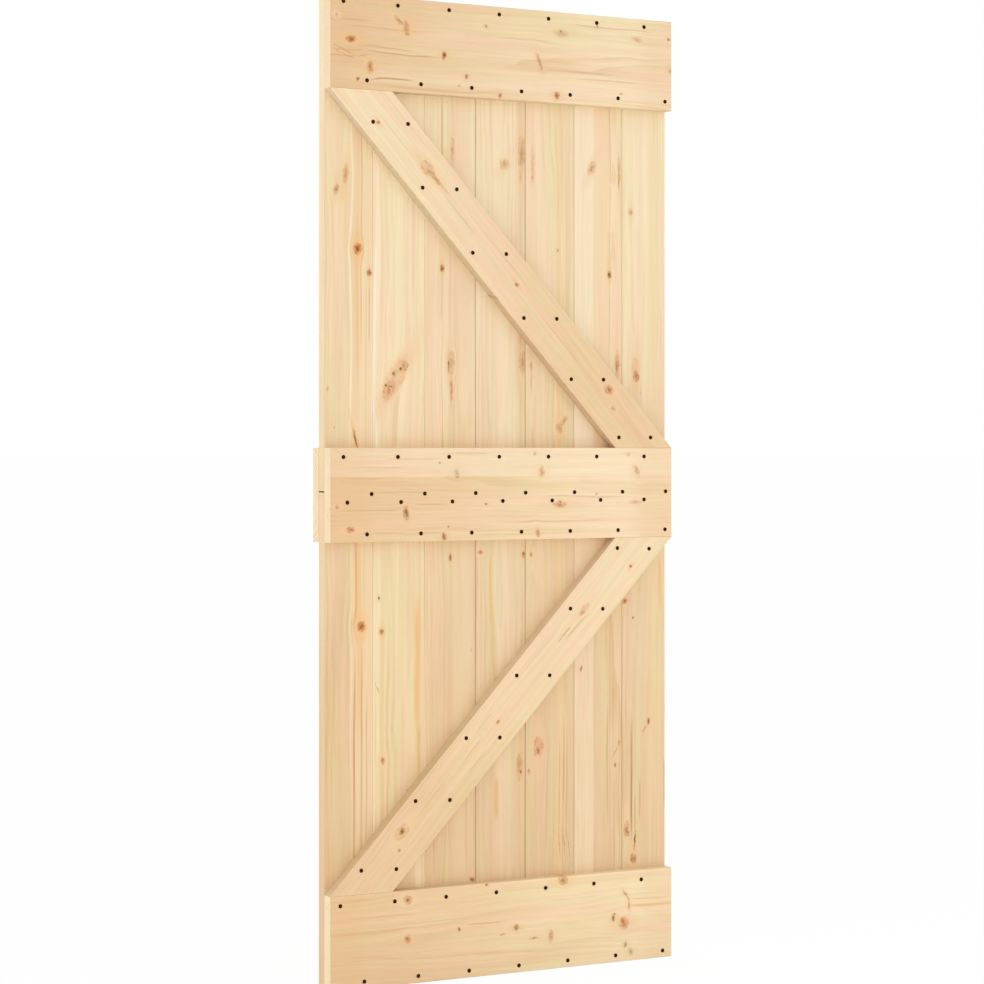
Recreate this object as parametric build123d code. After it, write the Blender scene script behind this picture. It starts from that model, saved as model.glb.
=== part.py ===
from build123d import *
import math
import os

# The leaf of a sliding barn door, in solid pine. Upright boards, tongued and grooved into each other,
# make the panel. Three rails and two diagonal braces are nailed across its front in the shape of a K,
# and one rail backs up the middle one from behind.
# X runs across the leaf from its centre line, Y from the show face towards the back, and Z up.
# The origin is on the front of the top rail, in its middle, where a sliding hanger bolts on.

# Driving dimensions, in millimetres
leaf_width = 850.0
leaf_height = 2100.0
board_cover = 124.4          # width of panel that one full board covers, from joint to joint
board_thickness = 28.0
rail_height = 200.0
rail_thickness = 28.0        # rails and braces are planed from the same stock
middle_rail_base = 943.0     # from the foot of the leaf up to the middle rail
brace_width = 108.0          # square across the brace

# Joint and edge details
tongue_length = 8.0
tongue_thickness = 8.0
tongue_tip_chamfer = 1.0
groove_end_clearance = 0.8   # beyond the tip of the tongue
groove_side_clearance = 0.15  # on each face of the tongue
board_gap = 0.4              # open line between the shoulders of two boards
board_arris = 1.4            # chamfer on the long edges of the boards, which makes the V of a joint
rail_round = 1.8             # radius on the front edges of the rails and the braces

# Places that follow from them
leaf_left = -leaf_width / 2
leaf_top = rail_height / 2
leaf_foot = leaf_top - leaf_height
board_front = rail_thickness
board_middle = board_front + board_thickness / 2
board_back = board_front + board_thickness
bottom_rail_top = leaf_foot + rail_height
middle_rail_foot = leaf_foot + middle_rail_base
middle_rail_top = middle_rail_foot + rail_height
top_rail_foot = leaf_top - rail_height
groove_depth = tongue_length + groove_end_clearance
groove_width = tongue_thickness + 2 * groove_side_clearance

# Full boards fill the middle, and the two outer ones are ripped to the same width on both sides
board_count = math.ceil(leaf_width / board_cover)
outer_cover = (leaf_width - (board_count - 2) * board_cover) / 2


def joint_lines():
    """X of each line between two boards, with the two outer edges of the leaf at the ends."""
    first = leaf_left + outer_cover
    inner = [first + i * board_cover for i in range(board_count - 1)]
    return [leaf_left] + inner + [-leaf_left]


def board(left, right, grooved, tongued):
    """One upright board between two shoulders, with a groove on its left and a tongue on its right."""
    with BuildPart() as made:
        with BuildSketch(Plane.XY.offset(leaf_foot)) as section:
            with Locations(((left + right) / 2, board_middle)):
                Rectangle(right - left, board_thickness)
            chamfer(section.vertices(), board_arris)
            if grooved:
                with Locations((left, board_middle)):
                    Rectangle(groove_depth, groove_width, align=(Align.MIN, Align.CENTER), mode=Mode.SUBTRACT)
            if tongued:
                add(tongue_section(right))
        extrude(amount=leaf_height)
    return made.part


def tongue_section(shoulder):
    """The tongue's section, out from a board's right shoulder, with its tip chamfered."""
    with BuildSketch() as section:
        with Locations((shoulder, board_middle)):
            Rectangle(tongue_length, tongue_thickness, align=(Align.MIN, Align.CENTER))
        tip = section.vertices().group_by(Axis.X)[-1]
        chamfer(tip, tongue_tip_chamfer)
    return section.sketch


def rail(foot, near, show_face):
    """A level rail across the whole leaf, from Y = near backwards, rounded all round its show face."""
    with BuildPart() as made:
        with BuildSketch(Plane.XZ.offset(-near)):
            with Locations((0, foot)):
                Rectangle(leaf_width, rail_height, align=(Align.CENTER, Align.MIN))
        extrude(amount=-rail_thickness)
        fillet(made.edges().filter_by_position(Axis.Y, show_face, show_face), rail_round)
    return made.part


def brace_cut(rise):
    """Length of the level cut at each end of a brace that rises by this much across the whole leaf.

    The brace is a parallelogram: its width, square across, is the cut times the sine of its slope,
    and its slope depends in turn on the cut. This is the positive root of that quadratic.
    """
    width_squared = brace_width**2
    slope_term = rise**2 - width_squared
    span_term = rise**2 + leaf_width**2
    root = math.sqrt(width_squared * leaf_width**2 + slope_term * span_term)
    return (brace_width * root - width_squared * leaf_width) / slope_term


def brace(left_end, right_end):
    """A brace from the left edge at one height to the right edge at another, cut level at both ends."""
    cut = brace_cut(abs(right_end - left_end))
    corners = [
        (leaf_left, left_end),
        (leaf_left + cut, left_end),
        (-leaf_left, right_end),
        (-leaf_left - cut, right_end),
    ]
    with BuildPart() as made:
        with BuildSketch(Plane.XZ):
            Polygon(*corners, align=None)
        extrude(amount=-rail_thickness)
        front_edges = made.edges().filter_by_position(Axis.Y, 0, 0)
        fillet(front_edges.filter_by(Axis.X, reverse=True), rail_round)
    return made.part


def leaf_parts():
    """Every piece of the leaf by its name."""
    pieces = {}
    lines = joint_lines()
    last = board_count - 1
    for i in range(board_count):
        left = lines[i] + (board_gap / 2 if i > 0 else 0)
        right = lines[i + 1] - (board_gap / 2 if i < last else 0)
        pieces[f"board_{i + 1}"] = board(left, right, grooved=i > 0, tongued=i < last)
    pieces["top_rail"] = rail(top_rail_foot, 0, 0)
    pieces["middle_rail"] = rail(middle_rail_foot, 0, 0)
    pieces["bottom_rail"] = rail(leaf_foot, 0, 0)
    pieces["back_rail"] = rail(middle_rail_foot, board_back, board_back + rail_thickness)
    pieces["upper_brace"] = brace(top_rail_foot, middle_rail_top)
    pieces["lower_brace"] = brace(bottom_rail_top, middle_rail_foot)
    return pieces


os.makedirs("parts", exist_ok=True)
for name, piece in leaf_parts().items():
    export_step(piece, f"parts/{name}.step")
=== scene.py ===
"""Looks of the leaf of a sliding barn door: knotty pine planks, dark nail heads and a plain studio."""

import logging
import math
from dataclasses import dataclass, field
from enum import Enum
from typing import Dict, List, Sequence, Tuple, Union

import bpy
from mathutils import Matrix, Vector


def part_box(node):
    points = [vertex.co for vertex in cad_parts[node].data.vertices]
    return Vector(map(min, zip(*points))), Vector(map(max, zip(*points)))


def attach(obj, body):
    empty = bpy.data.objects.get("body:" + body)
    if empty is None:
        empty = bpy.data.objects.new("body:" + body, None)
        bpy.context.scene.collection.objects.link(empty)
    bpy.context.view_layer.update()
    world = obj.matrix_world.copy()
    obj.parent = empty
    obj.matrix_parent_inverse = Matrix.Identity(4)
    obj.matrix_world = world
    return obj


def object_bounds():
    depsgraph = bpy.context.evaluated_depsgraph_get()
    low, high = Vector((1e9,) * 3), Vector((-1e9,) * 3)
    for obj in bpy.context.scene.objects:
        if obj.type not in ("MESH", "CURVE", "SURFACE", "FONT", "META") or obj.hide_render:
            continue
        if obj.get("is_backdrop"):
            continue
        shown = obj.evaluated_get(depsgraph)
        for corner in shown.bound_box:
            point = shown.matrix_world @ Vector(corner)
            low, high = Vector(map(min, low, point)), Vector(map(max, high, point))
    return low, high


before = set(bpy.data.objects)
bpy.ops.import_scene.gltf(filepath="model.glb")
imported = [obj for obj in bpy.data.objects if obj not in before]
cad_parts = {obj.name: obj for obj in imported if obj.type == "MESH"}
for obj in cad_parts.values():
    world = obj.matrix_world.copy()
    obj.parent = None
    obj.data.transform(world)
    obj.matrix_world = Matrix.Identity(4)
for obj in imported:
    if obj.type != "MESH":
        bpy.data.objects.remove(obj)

LOG = logging.getLogger("door_leaf")

MM = 0.001
BODY = "root"

Socket = bpy.types.NodeSocket
Feed = Union[float, Tuple[float, ...], bpy.types.NodeSocket]
Triple = Tuple[float, float, float]
Spot = Tuple[float, float]

WHITE = (1.0, 1.0, 1.0, 1.0)


@dataclass(frozen=True)
class Shade:
    """A colour as a screen shows it, each channel from 0 to 255."""

    red: float
    green: float
    blue: float

    def linear(self) -> Tuple[float, float, float, float]:
        """Gives the colour in the linear values that shaders take, with full alpha."""
        channels = [c / 255 for c in (self.red, self.green, self.blue)]
        light = [c / 12.92 if c <= 0.04045 else ((c + 0.055) / 1.055) ** 2.4 for c in channels]
        return (light[0], light[1], light[2], 1.0)


class Grain(Enum):
    """The way the grain of a plank runs, from its butt end to its tip."""

    LEVEL = "level"
    UPRIGHT = "upright"
    RISING = "rising"
    FALLING = "falling"


class Face(Enum):
    """The side of the leaf that a plank shows."""

    FRONT = "front"
    BACK = "back"


class KnotKind(Enum):
    """The kinds of knot in the pine: shades of the heart, the wood of the knot, and the stain round it."""

    AMBER = (Shade(156, 84, 32), Shade(212, 142, 76), Shade(242, 194, 132))
    RUST = (Shade(182, 100, 58), Shade(222, 158, 110), Shade(241, 200, 157))
    UMBER = (Shade(122, 66, 28), Shade(204, 146, 92), Shade(238, 198, 148))
    TAN = (Shade(192, 132, 80), Shade(226, 180, 130), Shade(241, 206, 161))
    PINK = (Shade(222, 162, 122), Shade(237, 194, 156), Shade(243, 210, 173))
    GREY = (Shade(170, 130, 90), Shade(216, 182, 138), Shade(235, 206, 164))


AMBER, RUST, UMBER, TAN, PINK, GREY = KnotKind


class JointKind(Enum):
    """How the bevel of a joint between two boards looks: its tone, and how much of that tone shows. The pale
    tones are a painted highlight that lightens the shade in the groove.
    """

    NONE = (Shade(0, 0, 0), 0.0)
    OPEN = (Shade(150, 116, 76), 0.28)
    FINE = (Shade(150, 116, 76), 0.25)
    # Painted highlight: a pale tone on both bevels that lightens the shade in the groove.
    PAINTED_HIGHLIGHT = (Shade(255, 234, 200), 0.8)
    CLOSE = (Shade(255, 234, 200), 0.45)
    HAIR = (Shade(176, 140, 98), 0.08)


class BandKind(Enum):
    """The kinds of band in a plank, by the share of their breadth that takes the full tone.

    A glued strip has straight, firm edges, and a soft streak follows the grain.
    """

    STRIP = 0.95
    STREAK = 0.3


STRIP, STREAK = BandKind


@dataclass(frozen=True)
class Knot:
    """A knot, or a short dash of resin, placed on the leaf in millimetres.

    Attributes:
        across: From the leaf's left edge.
        up: From the leaf's foot.
        length: Along the grain.
        breadth: Across the grain.
        kind: The shades it takes.
        strength: How much of those shades shows, from 0 to 1.
        slant: Turn against the grain, in degrees.
        push: How far it pushes the grain aside, as a share of its own breadth.
    """

    across: float
    up: float
    length: float
    breadth: float
    kind: KnotKind
    strength: float = 1.0
    slant: float = 0.0
    push: float = 1.0


@dataclass(frozen=True)
class Streak:
    """A band of another tone along the grain, placed on the leaf in millimetres by its middle.

    Attributes:
        across: From the leaf's left edge.
        up: From the leaf's foot.
        length: Along the grain.
        breadth: Across the grain.
        shade: The tone of the band.
        strength: How much of that tone shows; above 1 it fills the thin places of the band too.
        kind: Whether its edges are straight or follow the grain.
    """

    across: float
    up: float
    length: float
    breadth: float
    shade: Shade
    strength: float = 0.6
    kind: BandKind = STREAK


@dataclass(frozen=True)
class Pine:
    """The finish of one plank of bare, sanded pine.

    Attributes:
        butt: Tone at the end where the grain starts.
        tip: Tone at the other end.
        pith_across: The tree's middle, across the plank from its centre line, in millimetres.
        pith_depth: The tree's middle, behind the show face, in millimetres; below 0 it is in front.
        climb: How far the tree's middle moves backwards for each millimetre along the plank.
        ring_gap: From one year's ring to the next, in millimetres.
        figure: How clearly the rings show, where 1 is usual.
        seed: Picks this plank's place in the endless noise.
    """

    butt: Shade
    tip: Shade
    pith_across: float
    pith_depth: float
    climb: float
    ring_gap: float
    figure: float
    seed: float


@dataclass(frozen=True)
class Mottle:
    """Soft noise drawn out along the grain.

    Attributes:
        length: Of its features along the grain, in millimetres.
        breadth: Of its features across the grain, in millimetres.
        detail: How many finer layers it has.
        roughness: How much of the finer layers shows, from 0 to 1.
    """

    length: float
    breadth: float
    detail: float = 2.0
    roughness: float = 0.5


class Wiring:
    """Adds nodes to one node tree and joins them, so that a recipe reads like a formula."""

    def __init__(self, tree: bpy.types.NodeTree) -> None:
        """Keeps the tree that the nodes go into."""
        self.tree = tree

    @classmethod
    def fresh(cls, block: Union[bpy.types.Material, bpy.types.World]) -> "Wiring":
        """Gives the wiring of a new material or world, with nothing in its tree yet."""
        block.use_nodes = True
        block.node_tree.nodes.clear()
        return cls(block.node_tree)

    def feed(self, entry: Socket, value: Feed) -> None:
        """Links an input to a socket, or sets a plain value on it."""
        if isinstance(value, bpy.types.NodeSocket):
            self.tree.links.new(value, entry)
        else:
            entry.default_value = value

    def node(self, kind: str, feeds: Dict[Union[int, str], Feed], **settings: object) -> bpy.types.Node:
        """Adds one node.

        Args:
            kind: Blender's name for the type of node.
            feeds: A value or a socket for each input, by the input's name or place.
            settings: The node's own properties.

        Returns:
            The new node.
        """
        made = self.tree.nodes.new(kind)
        for name, value in settings.items():
            setattr(made, name, value)
        for key, value in feeds.items():
            self.feed(made.inputs[key], value)
        return made

    def math(self, operation: str, first: Feed, second: Feed = 0.0, third: Feed = 0.0) -> Socket:
        """Gives the result of one operation on numbers."""
        return self.node("ShaderNodeMath", {0: first, 1: second, 2: third}, operation=operation).outputs[0]

    def vector(self, operation: str, first: Feed, second: Feed) -> Socket:
        """Gives the vector that one operation on two vectors makes."""
        return self.node("ShaderNodeVectorMath", {0: first, 1: second}, operation=operation).outputs["Vector"]

    def dot(self, first: Feed, second: Feed) -> Socket:
        """Gives the dot product of two vectors."""
        made = self.node("ShaderNodeVectorMath", {0: first, 1: second}, operation="DOT_PRODUCT")
        return made.outputs["Value"]

    def step(self, value: Feed, start: Feed, stop: Feed, low: Feed = 0.0, high: Feed = 1.0) -> Socket:
        """Gives a smooth step.

        Args:
            value: What the step follows.
            start: The value at which the step gives low.
            stop: The value at which the step gives high.
            low: The result at start.
            high: The result at stop.

        Returns:
            The step's socket.
        """
        feeds = {0: value, 1: start, 2: stop, 3: low, 4: high}
        return self.node("ShaderNodeMapRange", feeds, interpolation_type="SMOOTHSTEP").outputs[0]

    def noise(self, vector: Feed, detail: float, roughness: float) -> Socket:
        """Gives soft noise from 0 to 1 with features about one unit wide."""
        feeds = {"Vector": vector, "Scale": 1.0, "Detail": detail, "Roughness": roughness}
        return self.node("ShaderNodeTexNoise", feeds).outputs[0]

    def mottle(self, place: Feed, mottle: Mottle) -> Socket:
        """Gives noise drawn out along the grain, from 0 to 1, at a place on a plank."""
        scale = (1 / mottle.length, 1 / mottle.breadth, 1 / mottle.breadth)
        return self.noise(self.vector("MULTIPLY", place, scale), mottle.detail, mottle.roughness)

    def blend(self, factor: Feed, first: Feed, second: Feed, mode: str = "MIX") -> Socket:
        """Gives two colours mixed by a factor."""
        feeds = {0: factor, 6: first, 7: second}
        return self.node("ShaderNodeMix", feeds, data_type="RGBA", blend_type=mode).outputs[2]

    def split(self, vector: Feed) -> List[Socket]:
        """Gives the three parts of a vector."""
        return list(self.node("ShaderNodeSeparateXYZ", {0: vector}).outputs)

    def join(self, first: Feed, second: Feed, third: Feed) -> Socket:
        """Gives a vector made of three numbers."""
        return self.node("ShaderNodeCombineXYZ", {0: first, 1: second, 2: third}).outputs[0]

    def group(self, tree: bpy.types.NodeTree, feeds: Dict[Union[int, str], Feed]) -> bpy.types.Node:
        """Adds a node that stands for a whole group."""
        return self.node("ShaderNodeGroup", feeds, node_tree=tree)

    def seen(self) -> Socket:
        """Gives 1 to what the camera sees, also by way of gloss or glass, and 0 to all other light."""
        path = self.node("ShaderNodeLightPath", {}).outputs
        seen = self.math("ADD", path["Is Camera Ray"], path["Is Glossy Ray"])
        return self.math("MINIMUM", self.math("ADD", seen, path["Is Transmission Ray"]), 1.0)

    def surface(self, colour: Socket, roughness: Feed, specular: float, bump: Dict[str, Feed]) -> None:
        """Adds a surface that isn't metal or glass, and the material's output.

        Args:
            colour: Its colour.
            roughness: Its roughness.
            specular: How strongly it reflects, where 0.5 is usual.
            bump: The height, strength and depth of its relief, by the names of the bump node's inputs.
        """
        shader = self.node("ShaderNodeBsdfPrincipled", {"Base Color": colour, "Roughness": roughness})
        shader.inputs["Specular IOR Level"].default_value = specular
        self.feed(shader.inputs["Normal"], self.node("ShaderNodeBump", bump).outputs["Normal"])
        self.node("ShaderNodeOutputMaterial", {"Surface": shader.outputs[0]})


@dataclass
class GroupPlan:
    """A node group to be: its name and its sockets by name and kind."""

    name: str
    entries: Dict[str, str]
    exits: Dict[str, str]

    def begin(self) -> Tuple[Wiring, Dict[str, Socket], bpy.types.Node]:
        """Makes the empty group.

        Returns:
            The group's wiring, its entry sockets by name, and the node that takes its exits.
        """
        tree = bpy.data.node_groups.new(self.name, "ShaderNodeTree")
        for name, kind in self.entries.items():
            tree.interface.new_socket(name, in_out="INPUT", socket_type="NodeSocket" + kind)
        for name, kind in self.exits.items():
            tree.interface.new_socket(name, in_out="OUTPUT", socket_type="NodeSocket" + kind)
        wiring = Wiring(tree)
        inner = wiring.node("NodeGroupInput", {})
        outer = wiring.node("NodeGroupOutput", {})
        return wiring, {name: inner.outputs[name] for name in self.entries}, outer


@dataclass
class PineGroups:
    """The node groups that all planks share, on places (along, depth, across) a plank, in millimetres.

    Attributes:
        pink_tint: Tint of the wood at one end of its slow changes of hue.
        green_tint: Tint at the other end.
        light_tint: Tint of its light bands.
        dark_tint: Tint of its dark bands.
        late_tint: Tint of the late wood of a year's ring.
        fine_tint: Tint of the fine lines and the fibres.
        hue: How the hue changes.
        value: How light and dark bands change.
        cloud: What makes the fade from end to end uneven.
        fine: The fine lines.
        fibre: The fibres.
        ringed: Where the rings show.
        waver: How the rings bend.
        quiver: The smaller part of that bending.
        patch: What makes a streak uneven.
        seed_step: From one plank's place in the noise to the next, in millimetres.
        waver_middle: The bending's own average, which bends nothing.
        waver_reach: How far the bending moves a ring, in millimetres.
        run_full: The share of a streak's half length at which it starts to fade.
    """

    pink_tint: Triple = (1.004, 0.962, 0.985)
    green_tint: Triple = (0.972, 1.02, 0.965)
    light_tint: Triple = (1.02, 1.024, 1.036)
    dark_tint: Triple = (0.97, 0.955, 0.925)
    late_tint: Triple = (0.93, 0.87, 0.78)
    fine_tint: Triple = (0.965, 0.945, 0.91)
    hue: Mottle = Mottle(460, 34, 3.0, 0.55)
    value: Mottle = Mottle(330, 11, 3.0, 0.55)
    cloud: Mottle = Mottle(260, 80)
    fine: Mottle = Mottle(240, 2.6, 3.0, 0.6)
    fibre: Mottle = Mottle(40, 0.5)
    ringed: Mottle = Mottle(420, 45)
    waver: Mottle = Mottle(420, 60)
    quiver: Mottle = Mottle(110, 26)
    patch: Mottle = Mottle(130, 5, 3.0, 0.6)
    seed_step: Triple = (713.0, 97.0, 131.0)
    waver_middle: float = 0.68
    waver_reach: float = 20.0
    run_full: float = 0.5
    figure: bpy.types.NodeTree = field(init=False)
    streak: bpy.types.NodeTree = field(init=False)
    knot: bpy.types.NodeTree = field(init=False)

    def __post_init__(self) -> None:
        """Makes the three groups."""
        self.figure = self.make_figure()
        self.streak = self.make_streak()
        self.knot = self.make_knot()

    def make_figure(self) -> bpy.types.NodeTree:
        """Makes the group for the wood itself: its fade, year rings, soft bands and fibres.

        Returns:
            The group's tree.
        """
        plan = GroupPlan(
            "pine_figure",
            {"Field": "Vector", "Seed": "Float", "Pith": "Vector", "Ring gap": "Float", "Figure": "Float",
             "Length": "Float", "Butt": "Color", "Tip": "Color"},
            {"Colour": "Color", "Height": "Float", "Late": "Float"},
        )
        w, entry, outer = plan.begin()
        along, depth, across = w.split(entry["Field"])
        drift = w.node("ShaderNodeVectorMath", {0: self.seed_step, "Scale": entry["Seed"]}, operation="SCALE")
        place = w.vector("ADD", entry["Field"], drift.outputs["Vector"])

        def tinted(base: Socket, factor: Feed, first: Triple, second: Triple) -> Socket:
            """Gives a colour multiplied by a tint between two tints."""
            tint = w.blend(factor, (*first, 1.0), (*second, 1.0))
            return w.blend(1.0, base, tint, "MULTIPLY")

        plain = (1.0, 1.0, 1.0)
        hue = w.step(w.mottle(place, self.hue), 0.34, 0.66)
        value = w.step(w.mottle(place, self.value), 0.32, 0.7)
        cloud = w.mottle(place, self.cloud)
        fine = w.step(w.mottle(place, self.fine), 0.45, 0.75)
        fibre = w.mottle(place, self.fibre)
        ringed = w.step(w.mottle(place, self.ringed), 0.38, 0.66, 0.15, 1.0)
        waver = w.math("MULTIPLY_ADD", w.mottle(place, self.quiver), 0.35, w.mottle(place, self.waver))
        late = self.add_rings(w, entry, (along, depth, across), waver)
        late = w.math("MULTIPLY", w.math("MULTIPLY", late, ringed), entry["Figure"])

        share = w.math("DIVIDE", along, entry["Length"])
        share = w.math("MULTIPLY_ADD", w.math("SUBTRACT", cloud, 0.5), 0.5, share)
        colour = w.blend(w.step(share, 0.0, 1.0), entry["Butt"], entry["Tip"])
        colour = tinted(colour, hue, self.pink_tint, self.green_tint)
        colour = tinted(colour, value, self.light_tint, self.dark_tint)
        colour = tinted(colour, late, plain, self.late_tint)
        colour = tinted(colour, fine, plain, self.fine_tint)
        colour = tinted(colour, w.step(fibre, 0.35, 0.7), plain, self.fine_tint)
        w.feed(outer.inputs["Colour"], colour)
        height = w.math("MULTIPLY_ADD", fibre, 0.45, w.math("MULTIPLY", late, 0.4))
        w.feed(outer.inputs["Height"], height)
        w.feed(outer.inputs["Late"], late)
        return w.tree

    def add_rings(
        self, w: Wiring, entry: Dict[str, Socket], place: Sequence[Socket], waver: Socket
    ) -> Socket:
        """Adds the year rings of a log that the plank is sawn from.

        Args:
            w: Wiring of the group.
            entry: The group's entries.
            place: Sockets for along, depth and across.
            waver: Noise that bends the rings.

        Returns:
            How dark the late wood of a ring is here, from 0 to 1.
        """
        along, depth, across = place
        climb, pith_depth, pith_across = w.split(entry["Pith"])
        back = w.math("SUBTRACT", w.math("SUBTRACT", depth, pith_depth), w.math("MULTIPLY", along, climb))
        side = w.math("SUBTRACT", across, pith_across)
        radius = w.math("SQRT", w.math("MULTIPLY_ADD", back, back, w.math("MULTIPLY", side, side)))
        waver = w.math("SUBTRACT", waver, self.waver_middle)
        radius = w.math("MULTIPLY_ADD", waver, self.waver_reach, radius)
        count = w.math("DIVIDE", radius, entry["Ring gap"])
        year = w.math("FLOOR", count)
        growth = w.math("FRACT", count)
        summer = w.math("MULTIPLY", w.step(growth, 0.25, 0.9), w.step(growth, 1.0, 0.92))
        tag = w.math("MULTIPLY_ADD", entry["Seed"], 17.0, year)
        vigour = w.node("ShaderNodeTexWhiteNoise", {"W": tag}, noise_dimensions="1D").outputs["Value"]
        return w.math("MULTIPLY", summer, w.math("MULTIPLY_ADD", vigour, 0.8, 0.15))

    def make_streak(self) -> bpy.types.NodeTree:
        """Makes the group that lays one band of another tone along the grain.

        Returns:
            The group's tree.
        """
        plan = GroupPlan(
            "pine_streak",
            {"Colour": "Color", "Field": "Vector", "Place": "Vector", "Half size": "Vector", "Shade": "Color",
             "Strength": "Float", "Firm": "Float"},
            {"Colour": "Color"},
        )
        w, entry, outer = plan.begin()
        feeds = {"Vector": entry["Field"], "Location": entry["Place"], "Scale": entry["Half size"]}
        near = w.node("ShaderNodeMapping", feeds, vector_type="TEXTURE").outputs[0]
        along, _, across = w.split(near)
        patch = w.mottle(entry["Field"], self.patch)
        band = w.step(w.math("ABSOLUTE", across), 1.0, entry["Firm"])
        run = w.step(w.math("ABSOLUTE", along), 1.0, self.run_full)
        cover = w.math("MULTIPLY", w.math("MULTIPLY", band, run), w.step(patch, 0.2, 0.65, 0.45, 1.1))
        factor = w.math("MULTIPLY", cover, entry["Strength"])
        w.feed(outer.inputs["Colour"], w.blend(factor, entry["Colour"], entry["Shade"]))
        return w.tree

    def make_knot(self) -> bpy.types.NodeTree:
        """Makes the group that paints one knot: stain, wood with its own rings, rim and heart.

        Its distances are 1 at the outline of the knot.

        Returns:
            The group's tree.
        """
        plan = GroupPlan(
            "pine_knot",
            {"Colour": "Color", "Distance": "Float", "Long": "Float", "Ripple": "Float", "Arc": "Float",
             "Heart": "Color", "Wood": "Color", "Stain": "Color", "Strength": "Float"},
            {"Colour": "Color"},
        )
        w, entry, outer = plan.begin()
        ripple = w.math("SUBTRACT", entry["Ripple"], 0.5)
        reach = w.math("MULTIPLY_ADD", ripple, 0.6, w.math("SQRT", entry["Distance"]))
        far = w.math("MULTIPLY_ADD", ripple, 1.2, w.math("SQRT", entry["Long"]))
        stain = w.math("MULTIPLY", w.step(far, 2.1, 0.5), 0.7)
        wood = w.step(reach, 1.3, 0.4)
        rim = w.math("MULTIPLY", w.step(reach, 0.5, 0.85), w.step(reach, 1.2, 0.9))
        heart = w.step(w.math("MULTIPLY_ADD", ripple, 1.3, reach), 0.75, 0.08)
        ring = w.step(w.math("SINE", w.math("MULTIPLY", reach, 17.0)), -1.0, 1.0, 0.0, 0.18)
        colour = w.blend(w.math("MULTIPLY", stain, entry["Strength"]), entry["Colour"], entry["Stain"])
        colour = w.blend(w.math("MULTIPLY", wood, entry["Strength"]), colour, entry["Wood"])
        rim = w.math("MULTIPLY", rim, w.step(entry["Arc"], 0.42, 0.62, 0.0, 0.5))
        mark = w.math("MAXIMUM", rim, w.math("MULTIPLY", wood, ring))
        mark = w.math("MAXIMUM", heart, mark)
        colour = w.blend(w.math("MULTIPLY", mark, entry["Strength"]), colour, entry["Heart"])
        w.feed(outer.inputs["Colour"], colour)
        return w.tree


@dataclass(frozen=True)
class Leaf:
    """The leaf's place in the frame, in metres, by the corners of its box."""

    low: Triple
    high: Triple

    def point(self, across: float, up: float, depth: float) -> Triple:
        """Gives the place in the frame of a point in millimetres from the leaf's lower left front corner."""
        return (self.low[0] + across * MM, self.low[1] + depth * MM, self.low[2] + up * MM)

    def thickness(self) -> float:
        """Gives the leaf's whole thickness, back rail included, in millimetres."""
        return (self.high[1] - self.low[1]) / MM


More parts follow.
